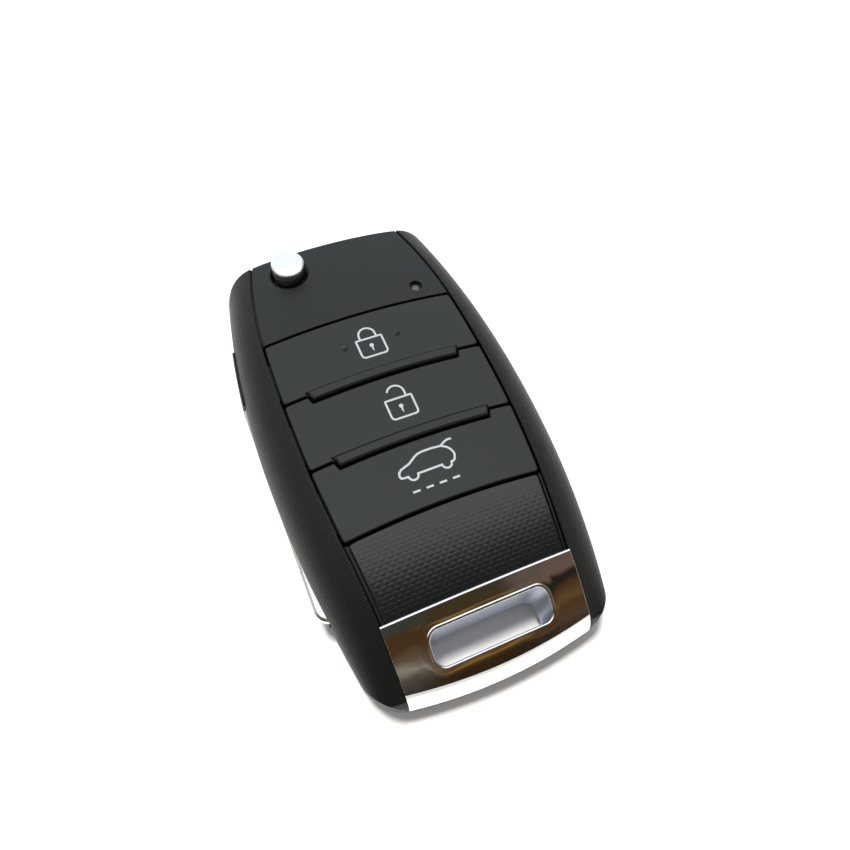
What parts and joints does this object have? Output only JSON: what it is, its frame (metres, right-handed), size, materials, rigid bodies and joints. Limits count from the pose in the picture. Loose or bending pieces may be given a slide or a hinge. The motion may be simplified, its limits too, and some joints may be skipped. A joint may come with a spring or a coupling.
{
  "type": "folding car key remote",
  "caption": "Folding car key remote: a crowned case with push buttons, a bright key-ring loop and a blade that flips out on a sprung hub.",
  "frame": {"origin": "on the flat rear rest face, under the middle of the case's length and width", "axes": "+Z out of the front through the buttons, +Y toward the release button end, +X to the right of the buttons"},
  "size_m": [0.0469, 0.0806, 0.0173],
  "materials": {
    "case_plastic": "fine grained black, satin",
    "button_plastic": "smooth charcoal, satin",
    "panel_plastic": "fine scale texture, satin",
    "bright_plating": "polished plating",
    "membrane_rubber": "moulded silicone rubber",
    "board_laminate": "green solder resist",
    "switch_body": "black moulding",
    "lamp_body": "clear resin",
    "lens_plastic": "clear moulding",
    "chip_plastic": "black moulded package",
    "bright_steel": "nickel plated steel",
    "head_metal": "black paint, satin",
    "blade_steel": "ground nickel plated steel"
  },
  "bodies": {
    "case": {"front_shell": "case_plastic", "rear_shell": "case_plastic", "lower_panel": "panel_plastic", "keyring_loop": "bright_plating", "keypad_membrane": "membrane_rubber", "circuit_board": "board_laminate", "lock_switch": "switch_body", "unlock_switch": "switch_body", "tailgate_switch": "switch_body", "indicator_led": "lamp_body", "led_lens": "lens_plastic", "control_chip": "chip_plastic", "crystal": "bright_steel", "coin_cell": "bright_steel", "battery_contact_positive": "bright_steel", "battery_contact_negative": "bright_steel", "transponder_chip": "chip_plastic", "flip_spring": "bright_steel"},
    "flip_key": {"flip_head": "head_metal", "blade": "blade_steel", "blade_pin": "blade_steel"},
    "release": {"release_button": "bright_plating"},
    "lock": {"lock_button": "button_plastic"},
    "unlock": {"unlock_button": "button_plastic"},
    "tailgate": {"tailgate_button": "button_plastic"}
  },
  "joints": [
    {"name": "blade_flip", "type": "hinge", "parent": "case", "child": "flip_key", "pos_m": [-0.0081, 0.0355, 0.007], "axis": [0, 0, -1], "range_deg": [0, 180]},
    {"name": "release_press", "type": "slide", "parent": "flip_key", "child": "release", "axis": [0, 0, -1], "range_m": [0, 0.002], "stiffness_N_per_m": 600},
    {"name": "lock_press", "type": "slide", "parent": "case", "child": "lock", "axis": [0, 0, -1], "range_m": [0, 0.0005], "stiffness_N_per_m": 1500},
    {"name": "unlock_press", "type": "slide", "parent": "case", "child": "unlock", "axis": [0, 0, -1], "range_m": [0, 0.0005], "stiffness_N_per_m": 1500},
    {"name": "tailgate_press", "type": "slide", "parent": "case", "child": "tailgate", "axis": [0, 0, -1], "range_m": [0, 0.0005], "stiffness_N_per_m": 1500}
  ]
}
